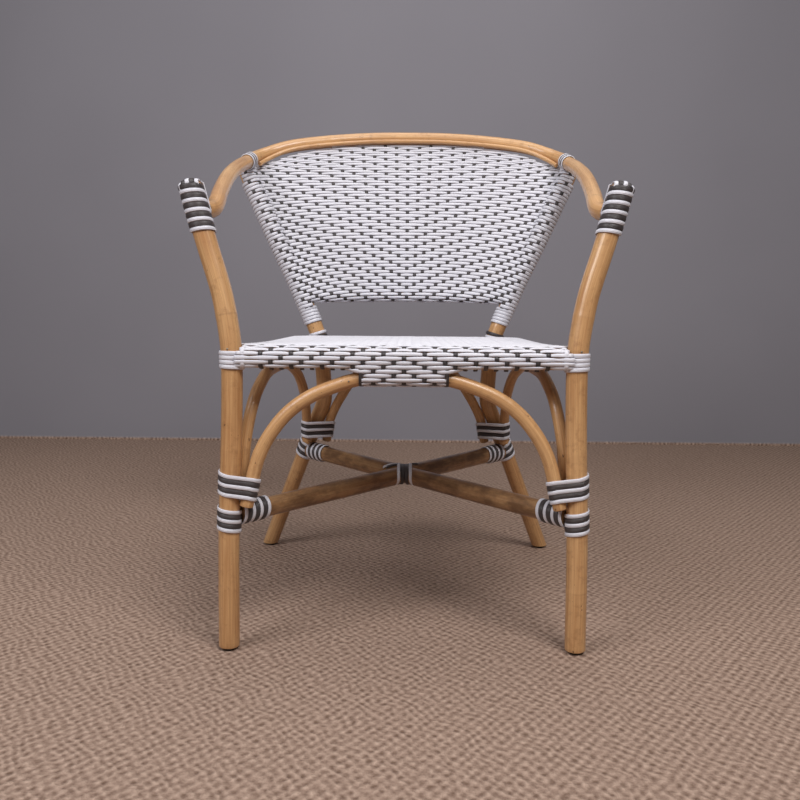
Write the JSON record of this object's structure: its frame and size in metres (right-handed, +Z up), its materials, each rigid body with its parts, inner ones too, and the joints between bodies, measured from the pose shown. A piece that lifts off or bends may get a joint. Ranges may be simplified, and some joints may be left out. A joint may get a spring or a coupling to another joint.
{
  "type": "armchair",
  "caption": "Bistro armchair of bent rattan poles bound with strands, with a woven seat, a curved woven back panel, a wrap-round arm rail, arched braces and crossed stretchers.",
  "frame": {"origin": "under the middle of the chair's bounding box, on the floor", "axes": "+Z up, +X to the chair's right as seen from the front, the front faces -Y"},
  "size_m": [0.6618, 0.607, 0.8651],
  "materials": {
    "rattan": "smooth clear-lacquered rattan pole, honey coloured, with darker node marks",
    "white_strand": "white extruded strand, half gloss, slightly ribbed",
    "dark_strand": "dark brown-grey extruded strand, half gloss, ribbed",
    "glide": "black moulded glide"
  },
  "bodies": {
    "root": {"left_front_post": "rattan", "left_rear_post": "rattan", "right_front_post": "rattan", "right_rear_post": "rattan", "arm_back_rail": "rattan", "left_front_glide": "glide", "left_rear_glide": "glide", "right_front_glide": "glide", "right_rear_glide": "glide", "seat_front_rail": "rattan", "seat_side_back_rail": "rattan", "front_arch": "rattan", "left_side_arch": "rattan", "right_side_arch": "rattan", "rear_arch": "rattan", "left_front_stretcher": "rattan", "right_front_stretcher": "rattan", "lower_back_rod": "rattan", "back_beading": "rattan", "back_weave": "white_strand", "seat_weave": "white_strand", "left_arm_tip_white_binding": "white_strand", "left_arm_tip_dark_binding": "dark_strand", "left_rail_tie_white_binding": "white_strand", "left_rail_tie_dark_binding": "dark_strand", "left_front_upper_white_binding": "white_strand", "left_front_upper_dark_binding": "dark_strand", "left_front_lower_white_binding": "white_strand", "left_front_lower_dark_binding": "dark_strand", "left_rear_upper_white_binding": "white_strand", "left_rear_upper_dark_binding": "dark_strand", "left_rear_lower_white_binding": "white_strand", "left_rear_lower_dark_binding": "dark_strand", "left_seat_corner_binding": "white_strand", "left_post_wrap_binding": "white_strand", "left_front_stretcher_front_white_binding": "white_strand", "left_front_stretcher_front_dark_binding": "dark_strand", "right_rear_stretcher_end_white_binding": "white_strand", "right_rear_stretcher_end_dark_binding": "dark_strand", "right_arm_tip_white_binding": "white_strand", "right_arm_tip_dark_binding": "dark_strand", "right_rail_tie_white_binding": "white_strand", "right_rail_tie_dark_binding": "dark_strand", "right_front_upper_white_binding": "white_strand", "right_front_upper_dark_binding": "dark_strand", "right_front_lower_white_binding": "white_strand", "right_front_lower_dark_binding": "dark_strand", "right_rear_upper_white_binding": "white_strand", "right_rear_upper_dark_binding": "dark_strand", "right_rear_lower_white_binding": "white_strand", "right_rear_lower_dark_binding": "dark_strand", "right_seat_corner_binding": "white_strand", "right_post_wrap_binding": "white_strand", "right_front_stretcher_front_white_binding": "white_strand", "right_front_stretcher_front_dark_binding": "dark_strand", "left_rear_stretcher_end_white_binding": "white_strand", "left_rear_stretcher_end_dark_binding": "dark_strand", "crossing_white_binding": "white_strand", "crossing_dark_binding": "dark_strand"}
  },
  "joints": []
}
